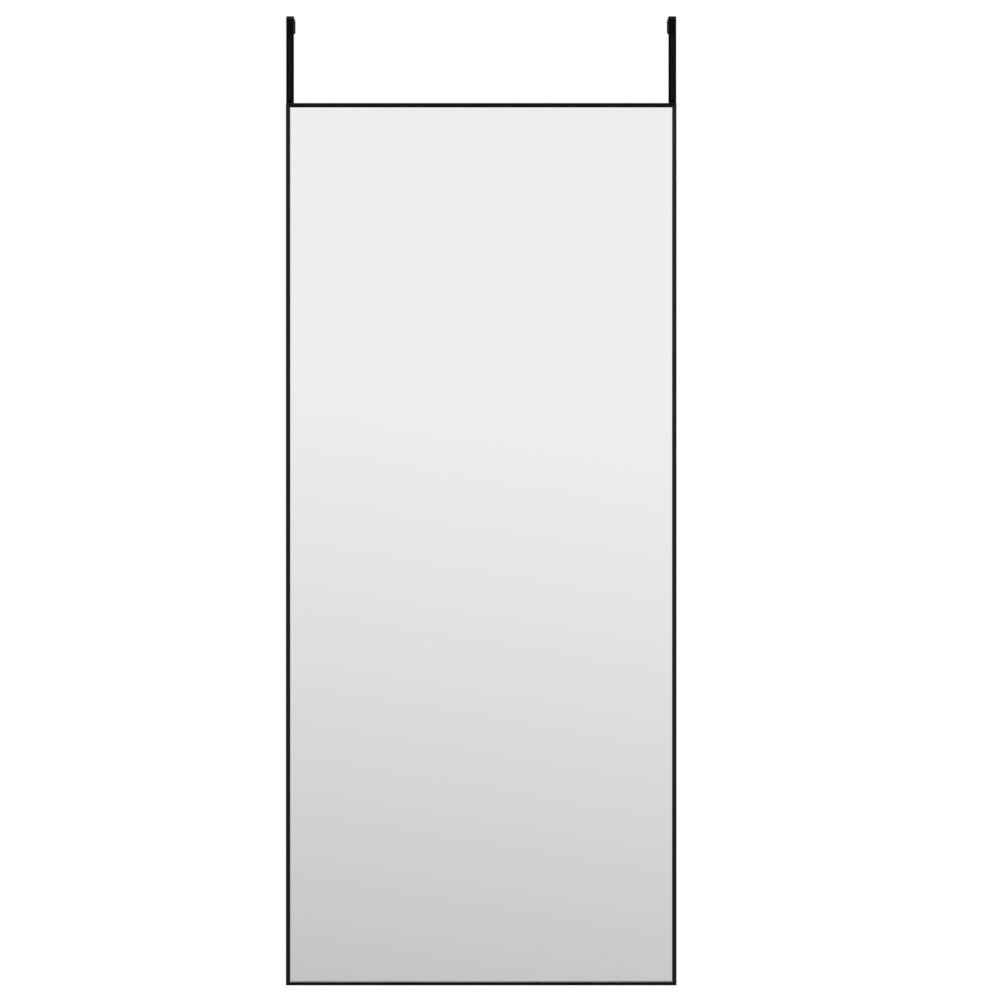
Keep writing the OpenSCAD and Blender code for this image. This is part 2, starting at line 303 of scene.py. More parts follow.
def broken_ends(tree, mesh, x, y, ring, inwards, edge, length, slant):
    """Sets the four rings at a piece's two ends: the outermost are drawn in by the broken edge, and
    each end is cut back by slant times x."""
    middle_ring = 1.5
    outermost = ((ring - middle_ring).size()).above(1.0)
    inset = edge * outermost
    new_x, new_y = x + inwards[0] * inset, y + inwards[1] * inset
    from_end = new_x * slant + edge * (1.0 - outermost)
    new_z = from_end + ring.above(middle_ring) * (length - from_end * 2.0)
    moved = move_points(tree, mesh, join(tree, new_x, new_y, new_z))
    return add(tree, "GeometryNodeRemoveAttribute",
               {"Geometry": moved, "Name": "along_section"}).outputs[0]


def bar_tree():
    """A frame bar: its section swept along +Z, with its outer side at x = 0, and both ends mitred."""
    tree, given = shape_tree(
        "extruded_bar", length=0.4, face=face_width, bevel=bevel_width, lip=lip, lip_edge=lip_edge,
        rim=rim_width, wall=wall, web_front=web_from_front, web=web, depth=14.2 * MM,
        rear_lip=rear_lip, slot=slot_width, outer_round=outer_round, inner_round=inner_round,
        deburr=deburr)
    face, rim, wall_in, depth = (given[name] for name in ("face", "rim", "wall", "depth"))
    outer, inner = given["outer_round"], given["inner_round"]
    front = given["lip"] - given["lip_edge"]
    channel = given["web_front"] + given["web"]
    behind = depth - given["rear_lip"]
    far_wall = rim - wall_in
    slot_start = (rim - given["slot"]) * 0.5
    slot_end = (rim + given["slot"]) * 0.5
    section = outline(tree, (
        (0.0, 0.0, outer), (face - given["bevel"], 0.0, inner), (face, front, inner),
        (face, given["lip"], inner), (wall_in, given["lip"], inner),
        (wall_in, given["web_front"], inner),
        (rim, given["web_front"], outer), (rim, depth, outer), (slot_end, depth, inner),
        (slot_end, behind, inner), (far_wall, behind, inner), (far_wall, channel, inner),
        (wall_in, channel, inner), (wall_in, behind, inner), (slot_start, behind, inner),
        (slot_start, depth, inner), (0.0, depth, outer)), closed=True)
    mesh, x, y, ring, *inwards = swept_section(tree, section)
    mitred = broken_ends(tree, mesh, x, y, ring, inwards, given["deburr"], given["length"], 1.0)
    end_tree(tree, mitred, given["finish"])
    return tree


def drill(tree, radius, sink_radius, thickness):
    """What drills and countersinks a plate from z = 0 up to its thickness, where the sink opens."""
    past = 1 * MM
    sink_depth = sink_radius - radius
    hole = add(tree, "GeometryNodeMeshCylinder",
               {"Vertices": round_sides, "Radius": radius, "Depth": thickness + 2 * past}).outputs[0]
    hole = add(tree, "GeometryNodeTransform",
               {"Geometry": hole, "Translation": join(tree, 0.0, 0.0, thickness * 0.5)}).outputs[0]
    sink = add(tree, "GeometryNodeMeshCone",
               {"Vertices": round_sides, "Radius Top": sink_radius + past,
                "Radius Bottom": radius, "Depth": sink_depth + past}).outputs[0]
    sink_foot = join(tree, 0.0, 0.0, thickness - sink_depth)
    sink = add(tree, "GeometryNodeTransform", {"Geometry": sink, "Translation": sink_foot}).outputs[0]
    both = add(tree, "GeometryNodeMeshBoolean", operation="UNION", solver="EXACT")
    plug(tree, hole, both.inputs["Mesh 2"])
    plug(tree, sink, both.inputs["Mesh 2"])
    return both.outputs[0]


def key_tree():
    """A stamped corner key in XY, from z = 0 up, with the frame's outer corner at 0. One leg lies
    along X and the other along Y. Its tapped holes have broken edges on the upper face."""
    tree, given = shape_tree(
        "corner_key", leg=34 * MM, upright=34 * MM, near=1.1 * MM, far=6.4 * MM, nose=key_nose,
        thickness=2 * MM, edge=key_edge, hole_radius=key_hole_radius,
        hole_edge=key_hole_radius + key_edge, centre_line=rim_width / 2, set_screw=set_screw_in,
        hook_holes=0, first_hook_hole=33 * MM, hook_hole_step=25 * MM)
    leg, upright, near, far, nose = (given[name] for name in ("leg", "upright", "near", "far", "nose"))
    section = outline(tree, (
        (near, near, nose), (leg - nose, near, 0.0), (leg, near + nose, 0.0), (leg, far - nose, 0.0),
        (leg - nose, far, 0.0), (far, far, inner_round), (far, upright - nose, 0.0),
        (far - nose, upright, 0.0), (near + nose, upright, 0.0), (near, upright - nose, 0.0)),
        closed=True)
    mesh, x, y, ring, *inwards = swept_section(tree, section)
    plate = broken_ends(tree, mesh, x, y, ring, inwards, given["edge"], given["thickness"], 0.0)

    centre, set_screw = given["centre_line"], given["set_screw"]
    set_holes = add(tree, "GeometryNodeMeshLine",
                    {"Count": 2, "Start Location": join(tree, set_screw, centre, 0.0),
                     "Offset": join(tree, centre - set_screw, set_screw - centre, 0.0)}).outputs[0]
    hook_holes = add(tree, "GeometryNodeMeshLine",
                     {"Count": given["hook_holes"],
                      "Start Location": join(tree, centre, given["first_hook_hole"], 0.0),
                      "Offset": join(tree, 0.0, given["hook_hole_step"], 0.0)}).outputs[0]
    spots = add(tree, "GeometryNodeJoinGeometry")
    plug(tree, set_holes, spots.inputs[0])
    plug(tree, hook_holes, spots.inputs[0])
    bit = drill(tree, given["hole_radius"], given["hole_edge"], given["thickness"])
    bits = add(tree, "GeometryNodeInstanceOnPoints",
               {"Points": spots.outputs[0], "Instance": bit}).outputs[0]
    bits = add(tree, "GeometryNodeRealizeInstances", {0: bits}).outputs[0]
    drilled = add(tree, "GeometryNodeMeshBoolean", {"Mesh 1": plate, "Mesh 2": bits},
                  operation="DIFFERENCE", solver="EXACT").outputs[0]
    end_tree(tree, drilled, given["finish"])
    return tree


def bumper_tree():
    """A turned rubber button with a barbed stem. Its rear face is up, and z = 0 is the bar's."""
    tree, given = shape_tree(
        "rubber_bumper", radius=3.5 * MM, thickness=3 * MM, rounding=bumper_round,
        stem_radius=1.5 * MM, barb_radius=2.1 * MM, barb_rim=0.8 * MM, barb_top=1.3 * MM,
        tip=4.7 * MM, edge=0.15 * MM)
    radius, stem, barb = (given[name] for name in ("radius", "stem_radius", "barb_radius"))
    top, tip, edge = given["barb_top"], given["tip"], given["edge"]
    profile = outline(tree, (
        (0.0, -tip, 0.0), (stem * 0.5, -tip, edge), (barb, -top - given["barb_rim"], edge),
        (barb, -top, edge), (stem, -top, edge), (stem, 0.0, edge), (radius, 0.0, edge),
        (radius, given["thickness"], given["rounding"]), (0.0, given["thickness"], 0.0)),
        closed=False)
    rows = 100
    grid, turn, along = flat_grid(tree, round_sides, rows)
    here = add(tree, "GeometryNodeSampleCurve", {"Curves": profile, "Factor": along}, mode="FACTOR")
    out, up, _ = split(tree, here.outputs["Position"])
    end_tree(tree, rolled(tree, grid, turn, out, up), given["finish"])
    return tree


def bend(tree, geometry, at, radius):
    """Bends a flat strip a quarter turn towards +Y, from the height at onwards."""
    x, y, z = position(tree)
    past = (z - at).at_least(0.0)
    turn = (past / radius).at_most(math.pi / 2)
    rest = past - turn * radius
    new_y = radius - (radius - y) * turn.cos() + rest * turn.sin()
    new_z = z.at_most(at) + (radius - y) * turn.sin() + rest * turn.cos()
    return move_points(tree, geometry, join(tree, x, new_y, new_z))


def strap_tree():
    """A hook: a flat strap with rounded edges and ends, pressed, bent twice and drilled."""
    tree, given = shape_tree(
        "bent_strap", width=strap_width, thickness=strap_thickness, edge=strap_edge,
        flat_length=0.21, front_bend=0.15, rear_bend=0.19, bend_radius=bend_radius,
        foot_round=strap_width / 2, leg_round=leg_corner, bead_width=bead_width,
        bead_height=bead_height, bead_low=0.07, bead_high=0.13, hole_radius=hole_radius,
        countersink=countersink_radius, low_hole=0.008, high_hole=0.033)
    half_w = given["width"] * 0.5
    half_t = given["thickness"] * 0.5
    edge = given["edge"]

    # The section is the ellipse's points, each moved to the nearest point of a rounded rectangle
    points_round = 72
    outside = 1.25
    circle = add(tree, "GeometryNodeCurvePrimitiveCircle", {"Resolution": points_round, "Radius": 1.0})
    u, v, _ = position(tree)
    ellipse_u, ellipse_v = u * half_w * outside, v * half_t * outside * outside
    core_u = ellipse_u.at_most(half_w - edge).at_least(edge - half_w)
    core_v = ellipse_v.at_most(half_t - edge).at_least(edge - half_t)
    out_u, out_v = ellipse_u - core_u, ellipse_v - core_v
    reach = edge / length_of(out_u, out_v)
    section = move_points(tree, circle.outputs[0],
                          join(tree, core_u + out_u * reach, core_v + out_v * reach, 0.0))

    ring_step = 0.6 * MM
    flat_end = join(tree, 0.0, 0.0, given["flat_length"])
    line = add(tree, "GeometryNodeCurvePrimitiveLine", {"End": flat_end}).outputs[0]
    rings = add(tree, "GeometryNodeResampleCurve", {"Curve": line, "Length": ring_step},
                mode="LENGTH").outputs[0]
    swept = add(tree, "GeometryNodeCurveToMesh",
                {"Curve": rings, "Profile Curve": section, "Fill Caps": True}).outputs[0]

    # Round ends: the rings near an end move out to equal angles of its arc
    x, y, z = position(tree)
    quarter = math.pi / 2
    from_leg = given["flat_length"] - z
    foot, leg = given["foot_round"], given["leg_round"]
    foot_turn = (z / foot).at_most(1.0) * quarter
    leg_turn = (from_leg / leg).at_most(1.0) * quarter
    tip = 0.02                                # of the width, so that the last ring has a face
    foot_share = ((half_w - foot + foot * foot_turn.sin()) / half_w).at_least(tip)
    leg_share = (half_w - leg + leg * leg_turn.sin()) / half_w
    foot_move = foot * (1.0 - foot_turn.cos()) - z.at_most(foot)
    leg_move = from_leg.at_most(leg) - leg * (1.0 - leg_turn.cos())
    rounded = move_points(tree, swept,
                          join(tree, x * foot_share * leg_share, y, z + foot_move + leg_move))

    # The bead: a soft swelling round a line up the middle of the strap
    x, y, z = position(tree)
    beyond = (given["bead_low"] - z).at_least(z - given["bead_high"]).at_least(0.0)
    away = (length_of(x, beyond) / (given["bead_width"] * 0.5)).at_most(1.0)
    swell = (1.0 + (away * math.pi).cos()) * given["bead_height"] * 0.5
    pressed = move_points(tree, rounded, join(tree, x, y - swell, z))

    # Countersunk holes, opening at the rear face
    bit = drill(tree, given["hole_radius"], given["countersink"], given["thickness"])
    drilled = pressed
    for place in ("low_hole", "high_hole"):
        aimed = add(tree, "GeometryNodeTransform",
                    {"Geometry": bit, "Rotation": (-quarter, 0.0, 0.0),
                     "Translation": join(tree, 0.0, -half_t, given[place])}).outputs[0]
        drilled = add(tree, "GeometryNodeMeshBoolean", {"Mesh 1": drilled, "Mesh 2": aimed},
                      operation="DIFFERENCE", solver="EXACT").outputs[0]

    bent = bend(tree, drilled, given["rear_bend"], given["bend_radius"])
    bent = bend(tree, bent, given["front_bend"], given["bend_radius"])
    end_tree(tree, bent, given["finish"])
    return tree


def screw_tree():
    """A machine screw along +Z with its head or socket at z = 0: thread, head, point and recess."""
    tree, given = shape_tree(
        "machine_screw", length=6 * MM, radius=screw_radius, pitch=screw_pitch,
        thread_depth=thread_depth, head_radius=head_radius, point=0.4 * MM,
        recess_radius=1.6 * MM * math.sqrt(2), recess_flatness=0.2, recess_depth=1.3 * MM,
        recess_taper=0.35, recess_sides=4, blades=2)
    # The first and last rows of the grid close on the axis
    rows = 120
    grid, turn, along = flat_grid(tree, round_sides, rows + 2)
    row = along * float(rows + 2)
    open_row = row.above(0.5) * (rows + 1.5 - row).above(0.0)
    z = ((row - 1.0) / float(rows)).at_least(0.0).at_most(1.0) * given["length"]
    crest = ((z / given["pitch"] - turn / (2 * math.pi)).math("FRACT") * 2.0 - 1.0).size()
    thread = given["radius"] - given["thread_depth"] * crest
    point = given["length"] - z + given["radius"] - given["point"]
    start = z + given["radius"] - given["point"] * 0.5
    radius = thread.at_most(point).at_most(start).at_least(given["head_radius"] - z) * open_row
    shank = rolled(tree, grid, turn, radius, z)

    # The recess: one hexagon, or two thin tapered blades crossed
    above = 0.2 * MM
    blade = add(tree, "GeometryNodeMeshCone",
                {"Vertices": given["recess_sides"], "Radius Bottom": given["recess_radius"],
                 "Radius Top": given["recess_radius"] * given["recess_taper"],
                 "Depth": given["recess_depth"] + above}).outputs[0]
    blade = add(tree, "GeometryNodeTransform",
                {"Geometry": blade, "Rotation": (0.0, 0.0, math.pi / 4)}).outputs[0]
    blade = add(tree, "GeometryNodeTransform",
                {"Geometry": blade, "Translation": (0.0, 0.0, -above),
                 "Scale": join(tree, 1.0, given["recess_flatness"], 1.0)}).outputs[0]
    spots = add(tree, "GeometryNodeMeshLine", {"Count": given["blades"], "Offset": (0.0, 0.0, 0.0)})
    index = Value(tree, add(tree, "GeometryNodeInputIndex").outputs[0])
    crossed = add(tree, "GeometryNodeInstanceOnPoints",
                  {"Points": spots.outputs[0], "Instance": blade,
                   "Rotation": join(tree, 0.0, 0.0, index * (math.pi / 2))}).outputs[0]
    cutter = add(tree, "GeometryNodeRealizeInstances", {0: crossed}).outputs[0]
    cut = add(tree, "GeometryNodeMeshBoolean",
              {"Mesh 1": shank, "Mesh 2": cutter, "Self Intersection": True},
              operation="DIFFERENCE", solver="EXACT")
    end_tree(tree, cut.outputs[0], given["finish"])
    return tree


def pad_tree():
    """A rubber pad: a slab with round corners in plan and a small rounding along every edge."""
    tree, given = shape_tree("rubber_pad", width=6.5 * MM, length=18 * MM, thickness=1 * MM,
                             corner=pad_corner, edge=pad_edge)
    half = [given[name] * 0.5 for name in ("width", "length", "thickness")]
    corner, edge = given["corner"], given["edge"]
    outside = 1.3
    points = {"Vertices X": 33, "Vertices Y": 65, "Vertices Z": 9}
    cube = add(tree, "GeometryNodeMeshCube", {"Size": (outside, outside, outside), **points})
    x, y, z = position(tree)
    x, y, z = x * half[0] * 2.0, y * half[1] * 2.0, z * half[2] * 2.0
    core_x = x.at_most(half[0] - corner).at_least(corner - half[0])
    core_y = y.at_most(half[1] - corner).at_least(corner - half[1])
    core_z = z.at_most(half[2] - edge).at_least(edge - half[2])
    off_x, off_y = x - core_x, y - core_y
    tiny = 1e-9                               # in place of 0, as a divisor
    share = ((corner - edge) / length_of(off_x, off_y).at_least(tiny)).at_most(1.0)
    core_x, core_y = core_x + off_x * share, core_y + off_y * share
    off_x, off_y, off_z = x - core_x, y - core_y, z - core_z
    reach = edge / length_of(length_of(off_x, off_y), off_z)
    rounded = join(tree, core_x + off_x * reach, core_y + off_y * reach, core_z + off_z * reach)
    slab = move_points(tree, cube.outputs[0], rounded)
    end_tree(tree, slab, given["finish"])
    return tree


def shaped(tree, finish, **sizes):
    """The mesh that a tree makes with these sizes, as plain data."""
    scratch = bpy.data.objects.new("scratch", bpy.data.meshes.new("scratch"))
    bpy.context.scene.collection.objects.link(scratch)
    modifier = scratch.modifiers.new("shape", "NODES")
    modifier.node_group = tree
    inputs = {item.name: item.identifier for item in tree.interface.items_tree
              if item.in_out == "INPUT"}
    for name, size in sizes.items():
        modifier[inputs[name]] = size
    modifier[inputs["finish"]] = finish
    depsgraph = bpy.context.evaluated_depsgraph_get()
    mesh = bpy.data.meshes.new_from_object(scratch.evaluated_get(depsgraph), depsgraph=depsgraph)
    bpy.data.objects.remove(scratch)
    sharp_past = math.radians(35)
    mesh.set_sharp_from_angle(angle=sharp_past)
    return mesh


def finish_piece(name, mesh, replaced):
    """Makes a finished piece of a mesh that lies where it belongs."""
    piece = bpy.data.objects.new(name, mesh)
    bpy.context.scene.collection.objects.link(piece)
    level = piece.modifiers.new("level_faces", "WEIGHTED_NORMAL")
    level.keep_sharp = True
    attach(piece, "root")
    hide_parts(replaced)


def placed(mesh, turn):
    """A copy of a mesh, turned or reflected, with its faces still outwards."""
    other = mesh.copy()
    other.transform(turn)
    if turn.determinant() < 0:
        other.flip_normals()
    return other


def mirrored(mesh):
    """The same mesh on the other side of the mirror's centre line."""
    return placed(mesh, Matrix.Scale(-1, 4, (1, 0, 0)))


def joined(meshes):
    """Several meshes as one, each a separate solid."""
    objects = []
    for mesh in meshes:
        part = bpy.data.objects.new("part", mesh)
        bpy.context.scene.collection.objects.link(part)
        objects.append(part)
    with bpy.context.temp_override(active_object=objects[0], selected_editable_objects=objects):
        bpy.ops.object.join()
    mesh = objects[0].data
    bpy.data.objects.remove(objects[0])
    return mesh


# ---------------------------------------------------------------- finishes

def new_finish(name, **settings):
    """A material whose shader has these plain values. Returns it, its tree and its shader."""
    material = bpy.data.materials.new(name)
    material.use_nodes = True
    tree = material.node_tree
    shader = tree.nodes["Principled BSDF"]
    for socket, value in settings.items():
        shader.inputs[socket.replace("_", " ")].default_value = value
    return material, tree, shader


def object_position(tree, stretch=(1.0, 1.0, 1.0)):
    """Where a point lies on the object, in metres times the stretch along each axis."""
    place = add(tree, "ShaderNodeTexCoord").outputs["Object"]
    return add(tree, "ShaderNodeMapping", {"Vector": place, "Scale": stretch}).outputs[0]


def noise(tree, place, scale, detail=3.0, roughness=0.5):
    """A cloudy pattern from 0 to 1, with so many lumps to the metre."""
    node = add(tree, "ShaderNodeTexNoise",
               {"Vector": place, "Scale": scale, "Detail": detail, "Roughness": roughness})
    return Value(tree, node.outputs[0])


def span(tree, value, low, high, usual=(0.3, 0.7)):
    """Stretches the values between which most of a pattern lies to low and high."""
    node = add(tree, "ShaderNodeMapRange", {"Value": value, "From Min": usual[0], "From Max": usual[1],
                                            "To Min": low, "To Max": high})
    return Value(tree, node.outputs[0])


def between(tree, share, first, second):
    """A colour between two, by a share from 0 to 1."""
    return mixed(tree, share, (*first, 1.0), (*second, 1.0))


def mixed(tree, share, first, second):
    """A mix of two colours, each a socket or given as red, green, blue and 1."""
    node = add(tree, "ShaderNodeMix", {0: share, 6: first, 7: second}, data_type="RGBA")
    return node.outputs[2]


def emboss(tree, shader, height, depth, strength):
    """Gives a surface its relief: a height pattern, its depth in metres, and how much shows."""
    bump = add(tree, "ShaderNodeBump", {"Strength": strength, "Distance": depth, "Height": height})
    tree.links.new(bump.outputs[0], shader.inputs["Normal"])


def black_aluminium(name, along, tone_with_painted_light):
    """Black anodised extrusion: fine die lines run along the bar. The tone passed in carries painted
    light: the upright bars get a lighter tone as painted sheen and the level bars a darker one as
    painted shade, for how side light falls along each.
    """
    material, tree, shader = new_finish(name, Metallic=1.0)
    across, lengthwise = 1.0, 0.004
    stretch = [across] * 3
    stretch["xyz".index(along)] = lengthwise
    lines = noise(tree, object_position(tree, stretch), 2600.0, detail=4.0, roughness=0.6)
    cloud = noise(tree, object_position(tree), 38.0)
    grain = noise(tree, object_position(tree), 5200.0, detail=2.0)
    tone = lines * 0.6 + cloud * 0.4
    dark = (tone_with_painted_light * 0.75, tone_with_painted_light * 0.75, tone_with_painted_light * 0.78)
    light = (tone_with_painted_light * 1.25, tone_with_painted_light * 1.25, tone_with_painted_light * 1.3)
    tree.links.new(between(tree, tone, dark, light), shader.inputs["Base Color"])
    plug(tree, span(tree, lines * 0.7 + grain * 0.3, 0.13, 0.21), shader.inputs["Roughness"])
    emboss(tree, shader, lines * 0.8 + grain * 0.2, 0.01 * MM, strength=0.35)
    return material


def black_powder_coat():
    """The hooks' coat: very dark, with the fine orange peel of baked powder."""
    material, tree, shader = new_finish("black_powder_coat", Specular_IOR_Level=0.04)
    place = object_position(tree)
    peel = noise(tree, place, 1400.0, detail=2.0)
    specks = noise(tree, place, 6500.0, detail=1.0)
    cloud = noise(tree, place, 90.0)
    coat = between(tree, cloud, (0.0008,) * 3, (0.0020, 0.0020, 0.0022))
    tree.links.new(coat, shader.inputs["Base Color"])
    plug(tree, span(tree, peel * 0.5 + specks * 0.5, 0.2, 0.34), shader.inputs["Roughness"])
    emboss(tree, shader, peel * 0.75 + specks * 0.25, 0.06 * MM, strength=0.4)
    return material


def silvered_glass():
    """The mirror: almost clean, with a very faint haze where it has been wiped."""
    material, tree, shader = new_finish("silvered_glass", Metallic=1.0)
    place = object_position(tree)
    wiped = noise(tree, object_position(tree, (1.0, 1.0, 0.35)), 9.0, detail=4.0, roughness=0.6)
    waves = noise(tree, place, 6.0, detail=1.0)
    tree.links.new(between(tree, wiped, (0.918,) * 3, (0.923,) * 3), shader.inputs["Base Color"])
    plug(tree, span(tree, wiped, 0.0, 0.012), shader.inputs["Roughness"])
    emboss(tree, shader, waves, 0.01 * MM, strength=0.1)
    return material


def fibreboard():
    """Hard-pressed fibre board, seen from behind: fibres matted every way, and a few dark ones."""
    material, tree, shader = new_finish("fibreboard", Specular_IOR_Level=0.25)
    place = object_position(tree)
    wavy = add(tree, "ShaderNodeTexNoise", {"Vector": place, "Scale": 120.0, "Detail": 1.0})
    sway = 6 * MM
    bent = add(tree, "ShaderNodeVectorMath", {0: wavy.outputs["Color"], 1: (sway,) * 3, 2: place},
               operation="MULTIPLY_ADD").outputs[0]
    ways = 5
    lengthened = (0.12, 1.0, 1.0)
    lying = []
    for way in range(ways):
        turned = add(tree, "ShaderNodeMapping",
                     {"Vector": bent, "Rotation": (0.0, math.pi * way / ways, 0.0)}).outputs[0]
        drawn_out = add(tree, "ShaderNodeMapping", {"Vector": turned, "Scale": lengthened})
        lying.append(noise(tree, drawn_out.outputs[0], 1900.0, detail=2.0, roughness=0.55))
    fibres = lying[0]
    for strand in lying[1:]:
        fibres = fibres.at_least(strand)
    cloud = noise(tree, place, 14.0, detail=4.0, roughness=0.6)
    usual_fibres, strongest = (0.53, 0.78), (0.70, 0.78)
    brown, tan = (0.225, 0.140, 0.078), (0.400, 0.275, 0.170)
    patch_brown, strand_brown = (0.29, 0.19, 0.11, 1.0), (0.11, 0.065, 0.035, 1.0)
    matted = between(tree, span(tree, fibres, 0.0, 1.0, usual_fibres), brown, tan)
    patchy = mixed(tree, span(tree, cloud, 0.0, 0.35), matted, patch_brown)
    spotted = mixed(tree, span(tree, lying[1], 0.0, 0.75, strongest), patchy, strand_brown)
    tree.links.new(spotted, shader.inputs["Base Color"])
    plug(tree, span(tree, fibres, 0.85, 0.65, usual_fibres), shader.inputs["Roughness"])
    emboss(tree, shader, fibres, 0.12 * MM, strength=0.5)
    return material


def plated_steel(name, tone, rough):
    """Plated or blackened steel of the small hardware."""
    material, tree, shader = new_finish(name, Metallic=1.0)
    place = object_position(tree)
    cloud = noise(tree, place, 160.0, detail=4.0, roughness=0.6)
    blotches = noise(tree, place, 800.0, roughness=0.6)
    grain = noise(tree, place, 4200.0, detail=2.0)
    rolling_lines = noise(tree, object_position(tree, (0.03, 1.0, 1.0)), 4500.0, roughness=0.6)
    usual_blend = (0.38, 0.62)
    share = span(tree, cloud * 0.4 + blotches * 0.35 + rolling_lines * 0.25, 0.0, 1.0, usual_blend)
    dark = (tone[0] * 0.60, tone[1] * 0.61, tone[2] * 0.63)
    tree.links.new(between(tree, share, dark, tone), shader.inputs["Base Color"])
    rough_share = blotches * 0.5 + grain * 0.3 + rolling_lines * 0.2
    spread = 0.10
    varied = span(tree, rough_share, rough - spread, rough + spread, usual_blend)
    plug(tree, varied, shader.inputs["Roughness"])
    emboss(tree, shader, grain * 0.5 + rolling_lines * 0.5, 0.02 * MM, strength=0.4)
    return material


def black_rubber():
    """Moulded rubber: matt, with a fine eroded grain."""
    material, tree, shader = new_finish("black_rubber", Specular_IOR_Level=0.15)
    place = object_position(tree)
    grain = noise(tree, place, 2800.0, roughness=0.6)
    cloud = noise(tree, place, 200.0)
    black = between(tree, cloud, (0.004,) * 3, (0.009, 0.009, 0.0087))
    tree.links.new(black, shader.inputs["Base Color"])
    plug(tree, span(tree, grain, 0.65, 0.85), shader.inputs["Roughness"])
    emboss(tree, shader, grain, 0.05 * MM, strength=0.5)
    return material


def foam_tape():
    """White foam mounting tape."""
    material, tree, shader = new_finish("foam_tape", Specular_IOR_Level=0.3)
    place = object_position(tree)
    cells = add(tree, "ShaderNodeTexVoronoi", {"Vector": place, "Scale": 2200.0})
    cell = Value(tree, cells.outputs["Distance"])
    white = between(tree, cell, (0.70, 0.70, 0.67), (0.84, 0.84, 0.81))
    tree.links.new(white, shader.inputs["Base Color"])
    plug(tree, span(tree, cell, 0.75, 0.9), shader.inputs["Roughness"])
    emboss(tree, shader, cell, 0.1 * MM, strength=0.4)
    return material


def dress(material, *names):
    """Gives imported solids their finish."""
    for name in names:
        nodes[name].material_slots[0].material = material


# ---------------------------------------------------------------- pieces

def make_bars(upright_finish, level_finish):
    """Four bars. The level ones are the drawn bar with its X and Z changed round, and take a darker
    finish than the uprights: painted shade against painted sheen.
    """
    tree = bar_tree()
    depth = back_y - front_y
    width, height = frame_high.x - frame_low.x, frame_top - frame_bottom
    corner = Matrix.Translation((frame_low.x, front_y, frame_bottom))
    upright = placed(shaped(tree, upright_finish, length=height, depth=depth), corner)
    finish_piece("bar_right", mirrored(upright), "frame_right")
    finish_piece("bar_left", upright, "frame_left")
    swapped = Matrix(((0, 0, 1, 0), (0, 1, 0, 0), (1, 0, 0, 0), (0, 0, 0, 1)))
    level = placed(shaped(tree, level_finish, length=width, depth=depth), swapped)
    top_corner = Matrix.Translation((frame_low.x, front_y, frame_top)) @ Matrix.Scale(-1, 4, (0, 0, 1))
    finish_piece("bar_top", placed(level, top_corner), "frame_top")
    finish_piece("bar_bottom", placed(level, corner), "frame_bottom")


def make_corner_keys(finish):
    """A key in each corner, its rear face against the bars' rear lips."""
    tree = key_tree()
    for end, edge_z, hook_holes in (("top", frame_top, 2), ("bottom", frame_bottom, 0)):
        low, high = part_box(f"corner_key_{end}_left")
        far_z = low.z if end == "top" else high.z
        near = low.x - frame_low.x
        centre_line = hook_x - frame_low.x
        mesh = shaped(tree, finish, leg=high.x - frame_low.x, upright=abs(far_z - edge_z), near=near,
                      far=2 * centre_line - near, thickness=high.y - low.y, centre_line=centre_line,
                      hook_holes=hook_holes, first_hook_hole=hook_screws_down[0],
                      hook_hole_step=hook_screws_down[1] - hook_screws_down[0])
        way = -1 if end == "top" else 1
        turn = Matrix(((1, 0, 0, frame_low.x), (0, 0, 1, low.y), (0, way, 0, edge_z), (0, 0, 0, 1)))
        left = placed(mesh, turn)
        for side, key in (("right", mirrored(left)), ("left", left)):
            finish_piece(f"stamped_key_{end}_{side}", key, f"corner_key_{end}_{side}")


def make_bumpers(finish):
    """A bumper near the foot of each upright bar."""
    low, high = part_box("bumper_left")
    radius = (high.x - low.x) / 2
    mesh = shaped(bumper_tree(), finish, radius=radius, thickness=high.y - back_y,
                  tip=back_y - low.y)
    seat = Matrix.Translation((low.x + radius, back_y, low.z + radius))
    point_back = Matrix.Rotation(math.radians(-90), 4, "X")
    left = placed(mesh, seat @ point_back)
    finish_piece("bumper_rubber_right", mirrored(left), "bumper_right")
    finish_piece("bumper_rubber_left", left, "bumper_left")


def make_hooks(finish):
    """Both hooks: the flat length and the places on it follow from the bent strap's box."""
    middle_y = back_y + strap_thickness / 2
    straight = hook_high.z - strap_thickness / 2 - bend_radius - hook_low.z
    arc = bend_radius * math.pi / 2
    bridge = hook_high.y - back_y - strap_thickness - 2 * bend_radius
    leg_below_pad = 0.5 * MM
    leg_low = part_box("leg_pad_left")[0].z - leg_below_pad
    leg = hook_high.z - strap_thickness / 2 - bend_radius - leg_low
    bead_end = bead_width / 2
    low_hole, high_hole = (frame_top - down - hook_low.z for down in reversed(hook_screws_down))
    mesh = shaped(
        strap_tree(), finish,
        flat_length=straight + arc + bridge + arc + leg, front_bend=straight,
        rear_bend=straight + arc + bridge,
        bead_low=frame_top + bead_above_frame + bead_end - hook_low.z,
        bead_high=hook_high.z - bead_below_top - bead_end - hook_low.z,
        low_hole=low_hole, high_hole=high_hole)
    mesh.transform(Matrix.Translation((hook_x, middle_y, hook_low.z)))
    finish_piece("hook_strap_right", mirrored(mesh), "hook_right")
    finish_piece("hook_strap_left", mesh, "hook_left")


def make_hook_screws(tree, finish):
    """Two countersunk screws for each hook, heads flush with the strap's rear face."""
    point_forward = Matrix.Rotation(math.radians(90), 4, "X")
    head_y = back_y + strap_thickness
    length = head_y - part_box("hook_screws_left")[0].y
    tightened = (20, 65)                      # degrees, how far each screw was turned
    meshes = []
    for turn, down in zip(tightened, hook_screws_down):
        mesh = shaped(tree, finish, length=length)
        place = Matrix.Translation((hook_x, head_y, frame_top - down))
        mesh.transform(place @ point_forward @ Matrix.Rotation(math.radians(turn), 4, "Z"))
        meshes.append(mesh)
    left = joined(meshes)
    finish_piece("hook_fasteners_right", mirrored(left), "hook_screws_right")
    finish_piece("hook_fasteners_left", left, "hook_screws_left")


